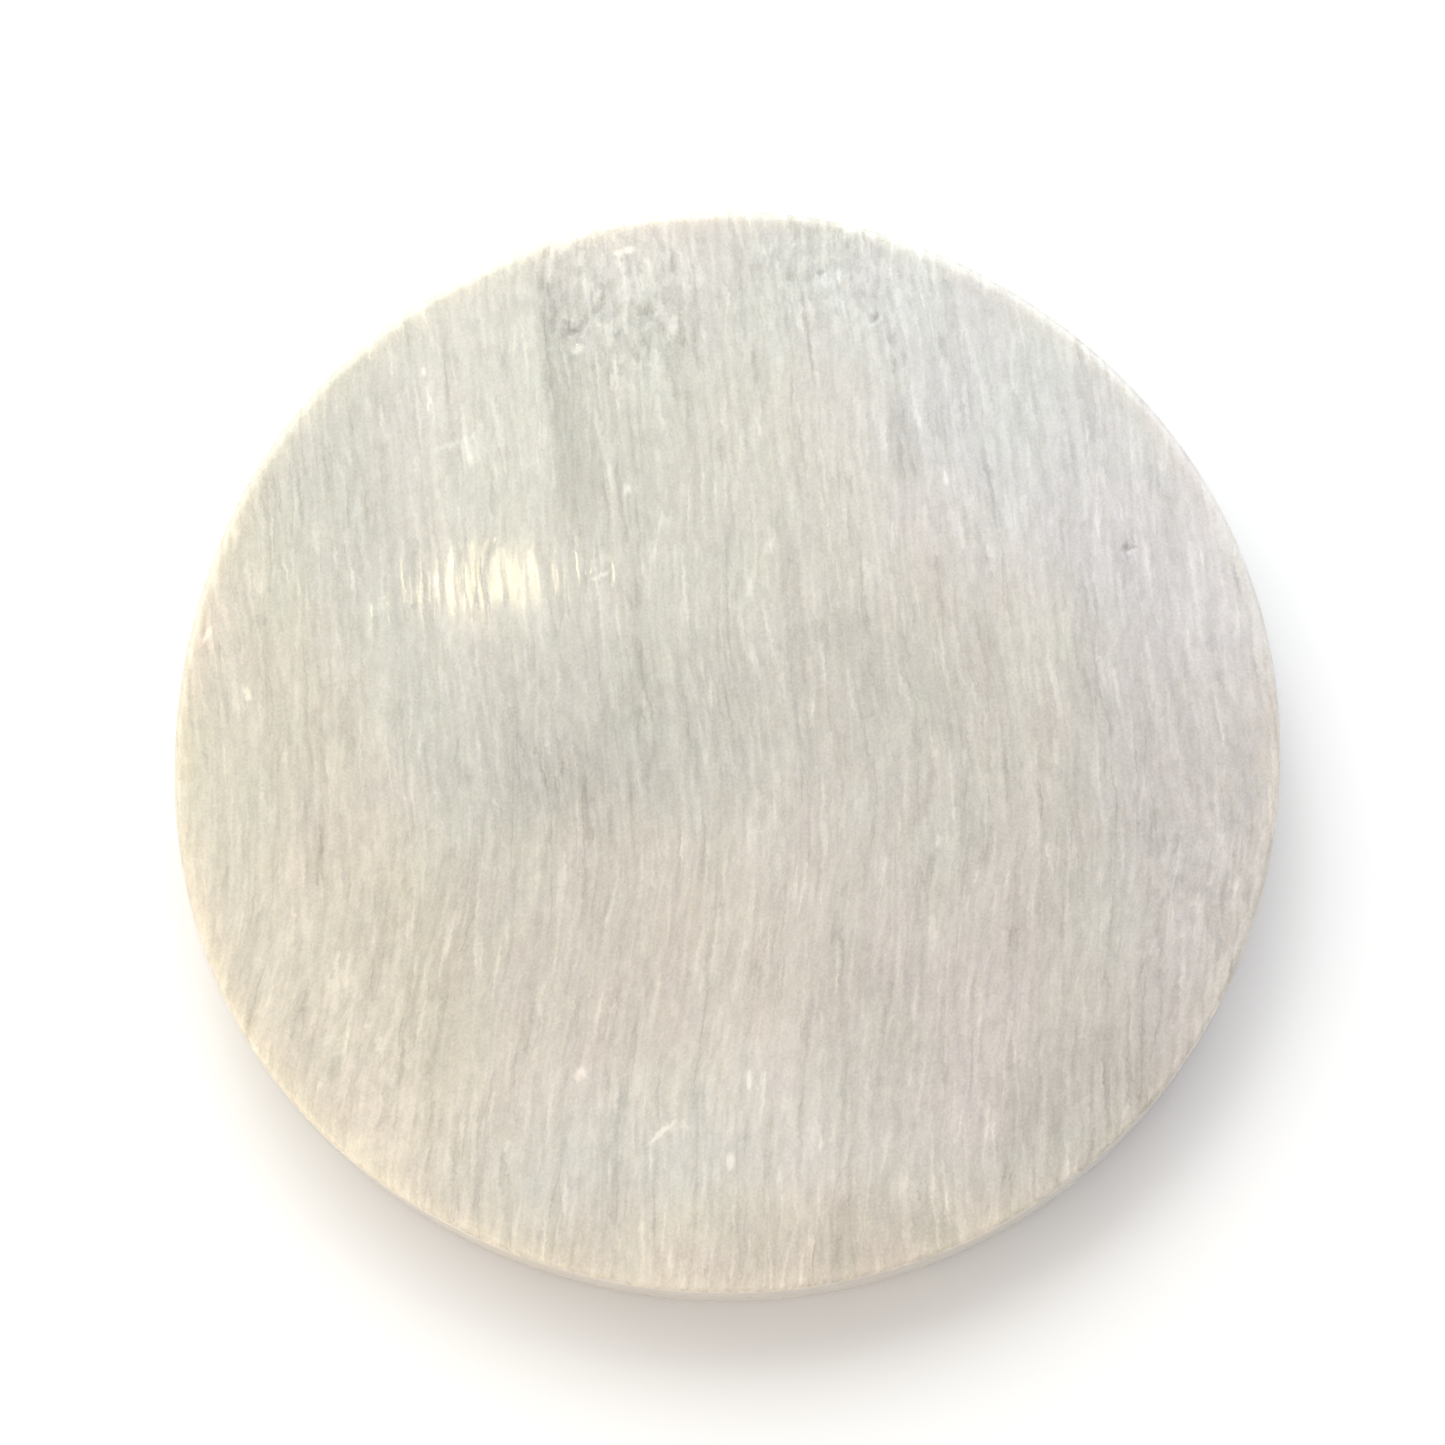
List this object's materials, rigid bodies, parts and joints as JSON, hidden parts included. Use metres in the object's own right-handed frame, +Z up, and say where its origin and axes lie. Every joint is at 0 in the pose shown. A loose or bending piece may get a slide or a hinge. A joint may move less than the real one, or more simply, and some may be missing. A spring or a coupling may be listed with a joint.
{
  "type": "satin spar disc",
  "caption": "Thin round polished disc of milky, fibrous satin spar with flat faces, fine parallel grain and softly eased edges, which lies flat as a coaster or display plate.",
  "frame": {"origin": "middle of the disc's footprint, on the flat face it rests on", "axes": "+Z up through the thickness, +Y roughly along the stone's fibres, whose mean direction is 3 degrees off it, +X across them"},
  "size_m": [0.0798, 0.08, 0.008],
  "materials": {
    "satin_spar": "polished, silky and slightly translucent, with fine parallel fibres"
  },
  "bodies": {
    "root": {"satin_spar_disc": "satin_spar"}
  },
  "joints": []
}
